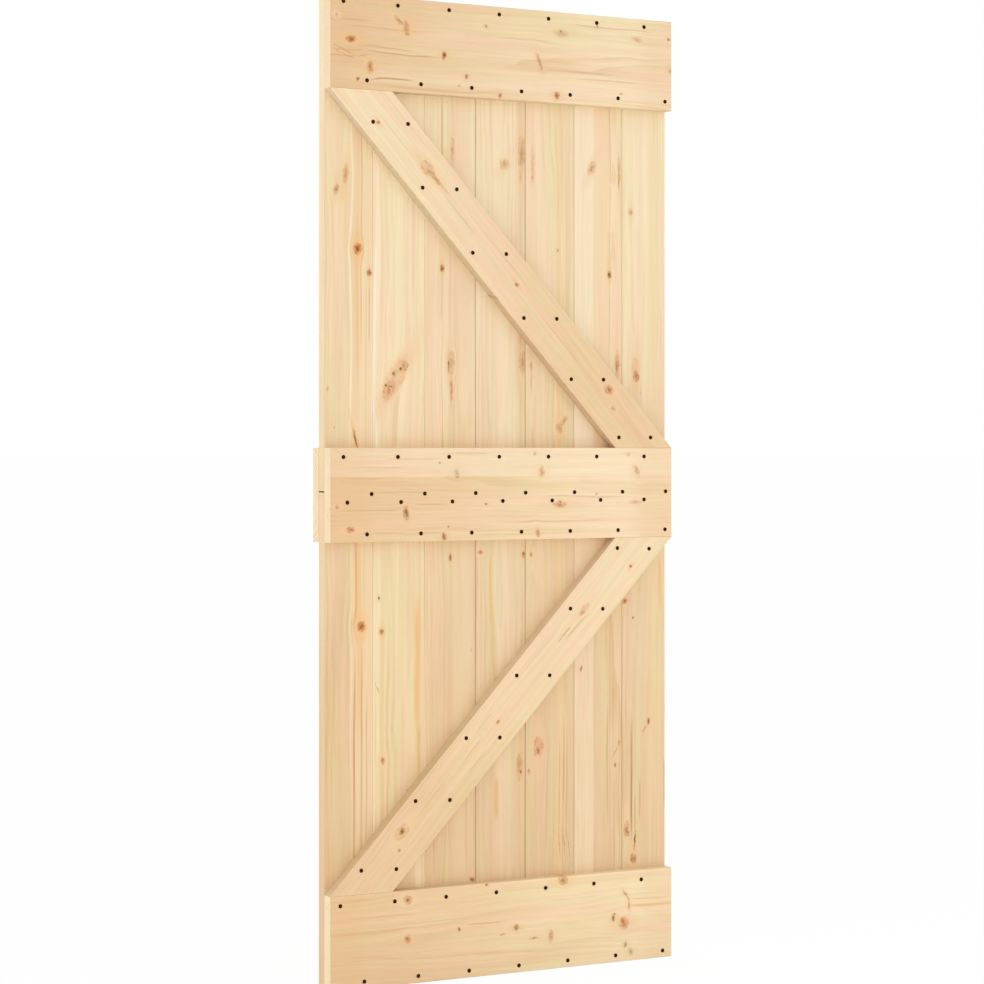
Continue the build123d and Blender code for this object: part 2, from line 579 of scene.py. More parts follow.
@dataclass
class Plank:
    """One plank of the leaf, and the knots and streaks that its finish shows.

    Attributes:
        node: The CAD node.
        grain: The way its grain runs.
        finish: Its pine.
        knots: Its knots.
        streaks: Its bands of other tones.
        face: The side that shows it.
        slope: Turn of a slanting grain from level, in degrees.
        length: Along the grain, in millimetres.
        edge: Tint of its long side faces: painted shade that darkens them on rails and braces, and painted
            light that pales them on boards.
        joints: How the bevels of its left and right joints look.
        marks: Bands that lie over its edges and joints too.
        turn: Turn of its grain from level, in radians.
        butt: Where its grain starts, along the grain from the origin, in millimetres.
        line: Its centre line, across the grain from the origin, in millimetres.
        show: Its show face, from the origin backwards, in millimetres.
    """

    node: str
    grain: Grain
    finish: Pine
    knots: Sequence[Knot] = ()
    streaks: Sequence[Streak] = ()
    face: Face = Face.FRONT
    slope: float = 0.0
    length: float = 0.0
    # Painted shade that darkens the long side faces of rails and braces; boards pass a paler tint, which is
    # painted light.
    edge: Triple = (0.86, 0.88, 0.9)
    joints: Tuple[JointKind, JointKind] = (JointKind.NONE, JointKind.NONE)
    marks: Sequence[Streak] = ()
    turn: float = field(init=False)
    butt: float = field(init=False)
    line: float = field(init=False)
    show: float = field(init=False)

    # Shape of the knots and of the grain, in millimetres; the lean is a share, and scales are per millimetre
    KNOT_LEAN = 0.25
    SWIRL_SIZE = 11.0
    SWIRL_REACH = (8.0, 0.0, 6.0)
    BEND = Mottle(480, 90)
    BEND_REACH = 12.0
    RIPPLE_SCALE = (1 / 7, 1 / 7, 1 / 4)
    ARC_SCALE = (1 / 13, 1 / 13, 1 / 9)

    # Surface, with the depth of its relief in metres
    BUMP_STRENGTH = 0.35
    BUMP_DEPTH = 0.0003
    SPECULAR = 0.3
    EARLY_ROUGHNESS = 0.6
    LATE_ROUGHNESS = 0.5

    # Sawn ends, long side faces with their painted shade (painted light on boards), and bevels, which are
    # told by how far the surface turns towards them
    END_SHADE = Shade(249, 226, 189)
    END_LATE = Shade(222, 178, 124)
    END_RINGS = 0.5
    END_PALE = 0.85
    END_TURN = (0.4, 0.95)
    EDGE_TURN = (0.8, 0.98)
    BEVEL_FROM = (0.55, 0.68)
    BEVEL_TO = (0.86, 0.74)

    def __post_init__(self) -> None:
        """Works out where the grain starts and which way it runs."""
        low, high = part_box(self.node)
        size = [(b - a) / MM for a, b in zip(low, high)]
        middle = [(a + b) / 2 / MM for a, b in zip(low, high)]
        if self.grain is Grain.LEVEL:
            self.slope = 0.0
            self.length = size[0]
        elif self.grain is Grain.UPRIGHT:
            self.slope = 90.0
            self.length = size[2]
        self.turn = math.radians(self.slope)
        cos, sin = math.cos(self.turn), math.sin(self.turn)
        self.butt = middle[0] * cos + middle[2] * sin - self.length / 2
        self.line = middle[2] * cos - middle[0] * sin
        self.show = (low[1] if self.face is Face.FRONT else high[1]) / MM

    def on_plank(self, point: Triple) -> Tuple[float, float]:
        """Turns a point in the frame into millimetres along and across the plank.

        Args:
            point: The point, in metres.

        Returns:
            Along from the butt end, and across from the centre line.
        """
        x, z = point[0] / MM, point[2] / MM
        cos, sin = math.cos(self.turn), math.sin(self.turn)
        return x * cos + z * sin - self.butt, z * cos - x * sin - self.line

    def dress(self, leaf: Leaf, groups: PineGroups) -> bpy.types.Material:
        """Makes the plank's own pine and puts it on the CAD node.

        Args:
            leaf: Turns places on the leaf into the frame.
            groups: The shared node groups.

        Returns:
            The new material.
        """
        material = bpy.data.materials.new("pine_" + self.node)
        w = Wiring.fresh(material)
        where = w.node("ShaderNodeTexCoord", {})
        feeds = {
            "Vector": where.outputs["Object"],
            "Location": (-self.butt, -self.show, -self.line),
            "Rotation": (0.0, self.turn, 0.0),
            "Scale": (1 / MM, 1 / MM, 1 / MM),
        }
        place = w.node("ShaderNodeMapping", feeds, vector_type="POINT").outputs[0]
        along, depth, across = w.split(place)
        leaning = w.math("MULTIPLY_ADD", depth, -self.KNOT_LEAN, along)
        flat = w.join(leaning, 0.0, across)
        feeds = {"Vector": flat, "Scale": 1 / self.SWIRL_SIZE, "Detail": 2.0}
        swirl = w.node("ShaderNodeTexNoise", feeds).outputs["Color"]
        warp = w.vector("MULTIPLY", w.vector("SUBTRACT", swirl, (0.5, 0.5, 0.5)), self.SWIRL_REACH)
        distances, push = self.add_knot_fields(w, leaf, w.vector("ADD", flat, warp))
        bend = w.math("SUBTRACT", w.mottle(place, self.BEND), 0.5)
        bent = w.math("SUBTRACT", w.math("MULTIPLY_ADD", bend, self.BEND_REACH, across), push)
        colour, height, late = self.add_wood(w, groups, w.join(along, depth, bent))
        fields = {
            STRIP: w.join(along, 0.0, across),
            STREAK: w.join(along, 0.0, bent),
        }
        colour = self.add_streaks(w, groups, leaf, fields, self.streaks, colour)
        colour = self.add_knots(w, groups, place, distances, colour)
        colour = self.add_ends(w, where.outputs["Normal"], late, colour)
        colour = self.add_streaks(w, groups, leaf, fields, self.marks, colour)
        self.add_surface(w, colour, height, late)
        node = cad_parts[self.node]
        node.data.materials.clear()
        node.data.materials.append(material)
        return material

    def add_knot_fields(
        self, w: Wiring, leaf: Leaf, flat: Socket
    ) -> Tuple[List[Tuple[Socket, Socket]], Feed]:
        """Adds the distance from each knot and the push of all knots on the grain.

        Args:
            w: Wiring of the material.
            leaf: Turns places on the leaf into the frame.
            flat: Place on the plank, without depth.

        Returns:
            For each knot the square of the distance in its own half sizes, and the same for a shape drawn out
            along the grain; then the push of all knots across the grain.
        """
        distances: List[Tuple[Socket, Socket]] = []
        push: Feed = 0.0
        for knot in self.knots:
            along, across = self.on_plank(leaf.point(knot.across, knot.up, 0.0))
            feeds = {
                "Vector": flat,
                "Location": (along, 0.0, across),
                "Rotation": (0.0, math.radians(knot.slant), 0.0),
                "Scale": (knot.length / 2, 1.0, knot.breadth / 2),
            }
            near = w.node("ShaderNodeMapping", feeds, vector_type="TEXTURE").outputs[0]
            squares = w.vector("MULTIPLY", near, near)
            distance = w.dot(squares, (1.0, 0.0, 1.0))
            aside = w.dot(near, (0.0, 0.0, knot.push * knot.breadth / 2))
            push = w.math("ADD", push, w.math("DIVIDE", aside, w.math("MAXIMUM", distance, 1.0)))
            distances.append((distance, w.dot(squares, (0.2, 0.0, 1.0))))
        return distances, push

    def add_wood(self, w: Wiring, groups: PineGroups, grain: Socket) -> Tuple[Socket, Socket, Socket]:
        """Adds the wood without its marks.

        Args:
            w: Wiring of the material.
            groups: The shared node groups.
            grain: Place in the bent grain.

        Returns:
            Sockets for the colour, the height of the surface and the late wood.
        """
        pine = self.finish
        feeds = {
            "Field": grain,
            "Seed": pine.seed,
            "Pith": (pine.climb, pine.pith_depth, pine.pith_across),
            "Ring gap": pine.ring_gap,
            "Figure": pine.figure,
            "Length": self.length,
            "Butt": pine.butt.linear(),
            "Tip": pine.tip.linear(),
        }
        made = w.group(groups.figure, feeds)
        return made.outputs["Colour"], made.outputs["Height"], made.outputs["Late"]

    def add_streaks(
        self, w: Wiring, groups: PineGroups, leaf: Leaf, fields: Dict[BandKind, Socket],
        streaks: Sequence[Streak], colour: Socket,
    ) -> Socket:
        """Adds bands of other tones over a colour.

        Args:
            w: Wiring of the material.
            groups: The shared node groups.
            leaf: Turns places on the leaf into the frame.
            fields: Place on the plank that each kind of band follows.
            streaks: The bands.
            colour: The colour so far.

        Returns:
            The new colour.
        """
        for streak in streaks:
            along, across = self.on_plank(leaf.point(streak.across, streak.up, 0.0))
            feeds = {
                "Colour": colour,
                "Field": fields[streak.kind],
                "Place": (along, 0.0, across),
                "Half size": (streak.length / 2, 1.0, streak.breadth / 2),
                "Shade": streak.shade.linear(),
                "Strength": streak.strength,
                "Firm": streak.kind.value,
            }
            colour = w.group(groups.streak, feeds).outputs["Colour"]
        return colour

    def add_knots(
        self, w: Wiring, groups: PineGroups, place: Socket,
        distances: Sequence[Tuple[Socket, Socket]], colour: Socket,
    ) -> Socket:
        """Adds the plank's knots over a colour.

        Args:
            w: Wiring of the material.
            groups: The shared node groups.
            place: Place on the plank.
            distances: The two distances from each knot.
            colour: The colour so far.

        Returns:
            The new colour.
        """
        ripple = w.noise(w.vector("MULTIPLY", place, self.RIPPLE_SCALE), 3.0, 0.6)
        arc = w.noise(w.vector("MULTIPLY", place, self.ARC_SCALE), 1.0, 0.5)
        for knot, (distance, drawn_out) in zip(self.knots, distances):
            heart, wood, stain = knot.kind.value
            feeds = {
                "Colour": colour,
                "Distance": distance,
                "Long": drawn_out,
                "Ripple": ripple,
                "Arc": arc,
                "Heart": heart.linear(),
                "Wood": wood.linear(),
                "Stain": stain.linear(),
                "Strength": knot.strength,
            }
            colour = w.group(groups.knot, feeds).outputs["Colour"]
        return colour

    def add_ends(self, w: Wiring, normal: Socket, late: Socket, colour: Socket) -> Socket:
        """Gives the sawn ends their own tone, paints shade on the long side faces (painted light on boards),
        and tones the joints' bevels.

        Args:
            w: Wiring of the material.
            normal: The surface's normal in the frame.
            late: The late wood, which shows as rings on the sawn ends.
            colour: The colour so far.

        Returns:
            The new colour.
        """
        cos, sin = math.cos(self.turn), math.sin(self.turn)
        end = w.math("ABSOLUTE", w.dot(normal, (cos, 0.0, sin)))
        edge = w.math("ABSOLUTE", w.dot(normal, (-sin, 0.0, cos)))
        rings = w.math("MULTIPLY", late, self.END_RINGS)
        sawn = w.blend(rings, self.END_SHADE.linear(), self.END_LATE.linear())
        colour = w.blend(w.step(end, *self.END_TURN, 0.0, self.END_PALE), colour, sawn)
        # Painted shade on the long side faces: darker on rails and braces, paler painted light on boards.
        side_shaded = w.blend(1.0, colour, (*self.edge, 1.0), "MULTIPLY")
        colour = w.blend(w.step(edge, *self.EDGE_TURN), colour, side_shaded)
        # Bevels take dark joint tones; the pale kinds paint a highlight that lightens the groove's shade.
        for side, joint in zip((-1.0, 1.0), self.joints):
            if joint is not JointKind.NONE:
                shade, share = joint.value
                lean = w.dot(normal, (side, 0.0, 0.0))
                start = w.step(lean, *self.BEVEL_FROM)
                stop = w.step(lean, *self.BEVEL_TO, 0.0, share)
                colour = w.blend(w.math("MULTIPLY", start, stop), colour, shade.linear())
        return colour

    def add_surface(self, w: Wiring, colour: Socket, height: Socket, late: Socket) -> None:
        """Adds the surface of the wood and the material's output.

        Args:
            w: Wiring of the material.
            colour: The finished colour.
            height: The height of the fibres.
            late: The late wood, which is a little glossier.
        """
        roughness = w.step(late, 0.0, 1.0, self.EARLY_ROUGHNESS, self.LATE_ROUGHNESS)
        bump = {"Height": height, "Strength": self.BUMP_STRENGTH, "Distance": self.BUMP_DEPTH}
        w.surface(colour, roughness, self.SPECULAR, bump)


@dataclass
class BoardedPanel:
    """The seven upright boards behind the rails: the tones of their streaks, and the tint of their edges,
    which is painted light that pales their long side faces.
    """

    # Painted light: pales the boards' long side faces.
    edge: Triple = (1.023, 1.058, 1.087)
    cream: Shade = Shade(253, 232, 197)
    peach: Shade = Shade(240, 203, 158)
    honey: Shade = Shade(238, 190, 126)
    orange: Shade = Shade(226, 160, 88)
    straw: Shade = Shade(242, 213, 164)
    dusk: Shade = Shade(228, 196, 154)
    brown: Shade = Shade(200, 148, 98)
    rust: Shade = Shade(206, 148, 98)

    def boards(self) -> List[Plank]:
        """Gives all boards from left to right."""
        return [
            self.board_1(), self.board_2(), self.board_3(), self.board_4(),
            self.board_5(), self.board_6(), self.board_7(),
        ]

    def board(
        self, number: int, pine: Pine, knots: Sequence[Knot], streaks: Sequence[Streak],
        joints: Tuple[JointKind, JointKind], marks: Sequence[Streak] = (),
    ) -> Plank:
        """Gives one board.

        Args:
            number: Its number from the left.
            pine: Its finish.
            knots: Its knots.
            streaks: Its bands of other tones.
            joints: How the bevels of its left and right joints look.
            marks: Bands that lie over its edges and joints too.

        Returns:
            The board.
        """
        return Plank(
            f"board_{number}", Grain.UPRIGHT, pine, knots, streaks, edge=self.edge, joints=joints, marks=marks
        )

    def board_1(self) -> Plank:
        """Gives the left outer board, with the orange line along it and the round knot below."""
        pine = Pine(Shade(230, 198, 155), Shade(250, 225, 187), 22, -46, 0.006, 6.0, 1.3, 1.0)
        knots = [
            Knot(78, 1566, 24, 19, AMBER),
            Knot(106, 1515, 14, 11, UMBER),
            Knot(73, 1161, 44, 6, AMBER, 0.9, slant=-14, push=0.0),
            Knot(50, 1724, 44, 14, AMBER, 0.36, slant=8),
            Knot(28, 1689, 24, 14, TAN, 0.85, slant=12),
            Knot(7, 1267, 10, 6, GREY, 0.6),
            Knot(24, 1185, 6, 4, GREY, 0.6),
            Knot(87, 764, 21, 20, AMBER),
        ]
        streaks = [
            Streak(90, 1050, 2300, 50, Shade(248, 219, 176), 0.55, STRIP),
            Streak(74, 1600, 1100, 26, self.peach, 0.6),
            Streak(62, 1640, 1300, 7, self.cream, 0.8),
            Streak(62, 700, 700, 6, self.cream, 0.4),
            Streak(77, 1470, 420, 12, self.honey, 0.5),
            Streak(74, 880, 340, 8, self.orange, 0.8),
            Streak(80, 740, 520, 18, self.honey, 0.6),
            Streak(70, 420, 640, 7, self.rust, 0.8),
            Streak(87, 460, 640, 6, self.rust, 0.6),
            Streak(98, 440, 440, 6, self.rust, 0.4),
            Streak(86, 1640, 700, 4, self.brown, 0.5),
            Streak(106, 1430, 150, 5, self.brown, 0.4),
            Streak(50, 1650, 260, 14, self.peach, 0.6),
            Streak(98, 1260, 600, 5, self.dusk, 0.5),
            Streak(34, 600, 1000, 8, self.dusk, 0.4),
        ]
        marks = [
            Streak(0, 1010, 260, 8, Shade(240, 205, 168), 0.5, STRIP),
            Streak(0, 1050, 3.6, 8, Shade(74, 32, 20), 1.6, STRIP),
            # Painted highlight along the joint with the second board.
            Streak(114, 1330, 560, 5, Shade(255, 240, 222), 0.55, STRIP),
        ]
        joints = (JointKind.NONE, JointKind.CLOSE)
        return self.board(1, pine, knots, streaks, joints, marks)

    def board_2(self) -> Plank:
        """Gives the second board, with the large cluster of knots above the middle rail."""
        pine = Pine(Shade(239, 211, 167), Shade(254, 233, 196), -10, -70, 0.010, 8.0, 1.3, 2.0)
        knots = [
            Knot(168, 1290, 104, 36, RUST, 0.5, slant=30, push=0.8),
            Knot(184, 1318, 36, 26, TAN, 1.0, slant=36, push=0.0),
            Knot(165, 1297, 30, 15, TAN, 0.8, slant=20, push=0.0),
            Knot(153, 1268, 44, 24, RUST, 0.7, slant=25, push=0.0),
            Knot(181, 1312, 8, 7, UMBER, 1.0, push=0.0),
            Knot(163, 1301, 9, 7, UMBER, 0.9, push=0.0),
            Knot(146, 1276, 11, 6, UMBER, 1.0, push=0.0),
            Knot(157, 1273, 7, 6, UMBER, 0.9, push=0.0),
            Knot(136, 751, 13, 11, AMBER, 0.7),
            Knot(128, 823, 7, 6, UMBER, 1.0),
            Knot(137, 477, 15, 11, RUST, 0.9),
            Knot(125, 629, 26, 3, GREY, 0.5, slant=-20, push=0.0),
            Knot(160, 544, 24, 2, GREY, 0.6, push=0.0),
            Knot(196, 407, 14, 3, UMBER, 0.6, push=0.0),
        ]
        streaks = [
            Streak(120, 1330, 640, 8, Shade(255, 240, 218), 0.9),
            Streak(128, 1640, 600, 14, self.cream, 0.4),
            Streak(117, 500, 1000, 6, self.cream, 0.5),
            Streak(126, 1050, 2300, 10, self.cream, 0.4),
            Streak(219, 680, 330, 25, self.honey, 0.8),
            Streak(224, 493, 130, 14, Shade(228, 178, 118), 0.7),
            Streak(164, 1200, 150, 20, self.dusk, 0.7),
            Streak(212, 1580, 320, 12, self.dusk, 0.4),
            Streak(200, 1050, 2300, 12, self.dusk, 0.2),
            Streak(232, 500, 800, 16, self.peach, 0.4),
            Streak(221, 240, 120, 22, self.cream, 0.6),
        ]
        marks = [
            # Painted highlight along the joint with the first board.
            Streak(114, 1330, 560, 5, Shade(255, 240, 222), 0.55, STRIP),
            Streak(238.4, 1190, 180, 4, self.brown, 0.5, STRIP),
            Streak(238.4, 860, 320, 4, self.brown, 0.5, STRIP),
        ]
        joints = (JointKind.CLOSE, JointKind.PAINTED_HIGHLIGHT)
        return self.board(2, pine, knots, streaks, joints, marks)

    def board_3(self) -> Plank:
        """Gives the third board, pinkish on its left and darker on its right."""
        pine = Pine(Shade(232, 199, 156), Shade(253, 229, 194), -34, 84, -0.008, 6.5, 1.3, 3.0)
        knots = [
            Knot(281, 1530, 15, 10, UMBER),
            Knot(303, 1326, 50, 19, TAN, 0.75),
            Knot(297, 1322, 30, 4, UMBER, 0.8, push=0.0),
            Knot(304, 1268, 66, 7, RUST, 0.6, push=0.0),
            Knot(306, 1785, 64, 9, PINK, 0.9),
            Knot(301, 907, 17, 8, UMBER, 0.9),
            Knot(354, 206, 9, 14, UMBER, 0.8, push=0.0),
            Knot(353, 705, 12, 5, GREY, 0.5),
        ]
        streaks = [
            Streak(330, 1050, 2300, 68, Shade(240, 210, 170), 0.5),
            Streak(301, 1250, 1500, 10, self.dusk, 0.5),
            Streak(286, 600, 900, 12, self.dusk, 0.35),
            Streak(281, 1470, 120, 4, self.brown, 0.4),
            Streak(282, 1810, 200, 5, self.rust, 0.6),
            Streak(283, 1200, 500, 3, self.rust, 0.4),
            Streak(310, 1200, 600, 3, self.brown, 0.4),
            Streak(262, 330, 260, 5, self.rust, 0.35),
            Streak(340, 330, 260, 5, self.rust, 0.35),
        ]
        joints = (JointKind.PAINTED_HIGHLIGHT, JointKind.OPEN)
        return self.board(3, pine, knots, streaks, joints)

    def board_4(self) -> Plank:
        """Gives the middle board, with the brown stripe along its right edge."""
        pine = Pine(Shade(231, 202, 161), Shade(253, 231, 197), 8, -58, 0.014, 7.5, 1.3, 4.0)
        knots = [
            Knot(478, 1788, 80, 19, TAN, 0.85, push=0.4),
            Knot(476, 1772, 40, 8, UMBER, 0.5, push=0.0),
            Knot(475, 1736, 30, 9, PINK, 0.7, push=0.0),
            Knot(483, 909, 17, 10, UMBER, 0.75),
            Knot(436, 1762, 26, 24, TAN, 0.55, slant=30, push=0.5),
            Knot(479, 1330, 56, 17, RUST, 0.65),
            Knot(474, 1336, 40, 3, UMBER, 0.7, push=0.0),
            Knot(475, 1385, 60, 9, PINK, 0.6, push=0.0),
            Knot(375, 916, 9, 17, TAN, 0.9),
            Knot(473, 445, 58, 16, AMBER, 0.42),
            Knot(475, 433, 9, 7, UMBER, 0.8, push=0.0),
        ]
        streaks = [
            Streak(432, 1050, 2300, 62, Shade(248, 224, 188), 0.4),
            Streak(476, 1500, 1300, 20, self.dusk, 0.6),
            Streak(398, 830, 190, 9, self.honey, 0.9),
            Streak(400, 520, 800, 14, Shade(230, 194, 146), 0.5),
            Streak(415, 378, 110, 16, Shade(228, 184, 126), 0.9),
        ]
        joints = (JointKind.OPEN, JointKind.FINE)
        return self.board(4, pine, knots, streaks, joints)

    def board_5(self) -> Plank:
        """Gives the fifth board, with a yellow band, and arches in the grain near its foot."""
        pine = Pine(Shade(231, 200, 157), Shade(251, 227, 191), 44, -40, -0.012, 8.5, 1.3, 5.0)
        knots = [
            Knot(506, 1764, 84, 10, PINK, 0.6, push=0.4),
            Knot(505, 1738, 16, 5, RUST, 0.5, push=0.0),
            Knot(502, 908, 13, 8, UMBER, 0.6),
            Knot(502, 1322, 20, 7, UMBER, 0.7),
            Knot(502, 1290, 70, 7, PINK, 0.5, push=0.0),
            Knot(570, 1579, 7, 6, TAN, 0.8),
            Knot(574, 1187, 22, 17, AMBER, 0.7),
            Knot(586, 1203, 26, 14, TAN, 0.7, slant=40, push=0.0),
            Knot(586, 272, 90, 3, TAN, 0.75, slant=-5, push=0.0),
            Knot(598, 262, 90, 3, TAN, 0.65, slant=-9, push=0.0),
            Knot(574, 268, 90, 3, TAN, 0.6, slant=-4, push=0.0),
            Knot(521, 484, 48, 25, RUST, 0.8),
            Knot(520, 476, 16, 11, RUST, 0.9, push=0.0),
            Knot(497, 433, 14, 8, RUST, 0.6),
        ]
        streaks = [
            Streak(572, 1050, 2300, 20, Shade(240, 206, 154), 0.6),
            Streak(596, 1050, 2300, 22, self.dusk, 0.45),
            Streak(582, 400, 340, 6, self.brown, 0.6),
            Streak(572, 380, 300, 5, self.brown, 0.45),
            Streak(590, 400, 300, 5, self.brown, 0.45),
            Streak(540, 380, 300, 4, self.brown, 0.3),
        ]
        joints = (JointKind.FINE, JointKind.HAIR)
        return self.board(5, pine, knots, streaks, joints)

    def board_6(self) -> Plank:
        """Gives the sixth board, cream on its left and pinkish tan on its right."""
        pine = Pine(Shade(234, 203, 162), Shade(254, 228, 193), -26, 72, 0.005, 6.5, 1.3, 6.0)
        knots = [
            Knot(657, 1764, 34, 18, TAN, 0.6, slant=25),
            Knot(728, 1762, 76, 9, TAN, 0.5, push=0.4),
            Knot(728, 1738, 22, 5, AMBER, 0.45, push=0.0),
            Knot(703, 1530, 17, 10, UMBER),
            Knot(724, 1327, 62, 14, RUST, 0.55),
            Knot(721, 1325, 30, 3, UMBER, 0.6, push=0.0),
            Knot(630, 653, 13, 6, UMBER, 0.7, slant=15),
            Knot(728, 484, 14, 7, UMBER, 0.5),
            Knot(720, 466, 34, 3, UMBER, 0.4, slant=30, push=0.0),
            Knot(718, 434, 14, 6, UMBER, 0.6),
        ]
        streaks = [
            Streak(637, 1560, 1500, 50, Shade(250, 232, 200), 0.7, STRIP),
            Streak(637, 400, 1300, 50, self.cream, 0.38, STRIP),
            Streak(683, 1600, 1300, 42, Shade(246, 211, 168), 0.45, STRIP),
            Streak(704, 1050, 2300, 4, self.rust, 0.25),
            Streak(704, 1840, 240, 5, self.rust, 0.3),
            Streak(698, 440, 300, 5, self.rust, 0.5),
            Streak(715, 300, 240, 5, self.rust, 0.4),
        ]
        joints = (JointKind.HAIR, JointKind.HAIR)
        return self.board(6, pine, knots, streaks, joints)

    def board_7(self) -> Plank:
        """Gives the right outer board, with the brown line and the dark knot near its foot."""
        pine = Pine(Shade(233, 204, 163), Shade(254, 233, 198), 16, -52, 0.011, 7.0, 1.3, 7.0)
        knots = [
            Knot(759, 1671, 16, 11, TAN, 0.6),
            Knot(772, 1318, 52, 19, TAN, 0.7),
            Knot(773, 1304, 28, 18, RUST, 1.0, push=0.0),
            Knot(773, 1303, 22, 14, RUST, 0.8, push=0.0),
            Knot(786, 1265, 24, 2, GREY, 0.6, push=0.0),
            Knot(744, 800, 14, 14, RUST),
            Knot(765, 762, 7, 5, UMBER, 0.7),
            Knot(806, 528, 15, 9, UMBER),
            Knot(796, 512, 36, 5, AMBER, 0.22, slant=28, push=0.0),
            Knot(765, 224, 22, 15, UMBER),
            Knot(766, 223, 22, 15, UMBER, push=0.0),
            Knot(748, 289, 40, 14, TAN, 1.0, push=0.4),
            Knot(750, 283, 22, 9, UMBER, 0.5, slant=-20, push=0.0),
            Knot(770, 262, 44, 5, UMBER, 0.8, slant=6, push=0.0),
        ]
        streaks = [
            Streak(820, 1050, 2300, 48, self.straw, 0.45),
            Streak(835, 840, 140, 12, self.honey, 0.7),
            Streak(761, 400, 320, 7, Shade(192, 134, 80), 0.9),
            Streak(770, 300, 160, 5, self.brown, 0.6),
            Streak(782, 355, 110, 7, self.brown, 0.5),
            Streak(792, 380, 330, 18, self.honey, 0.35),
            Streak(806, 590, 120, 9, self.honey, 0.5),
        ]
        marks = [Streak(849, 390, 130, 8, Shade(206, 178, 124), 0.75, STRIP)]
        joints = (JointKind.HAIR, JointKind.NONE)
        return self.board(7, pine, knots, streaks, joints, marks)


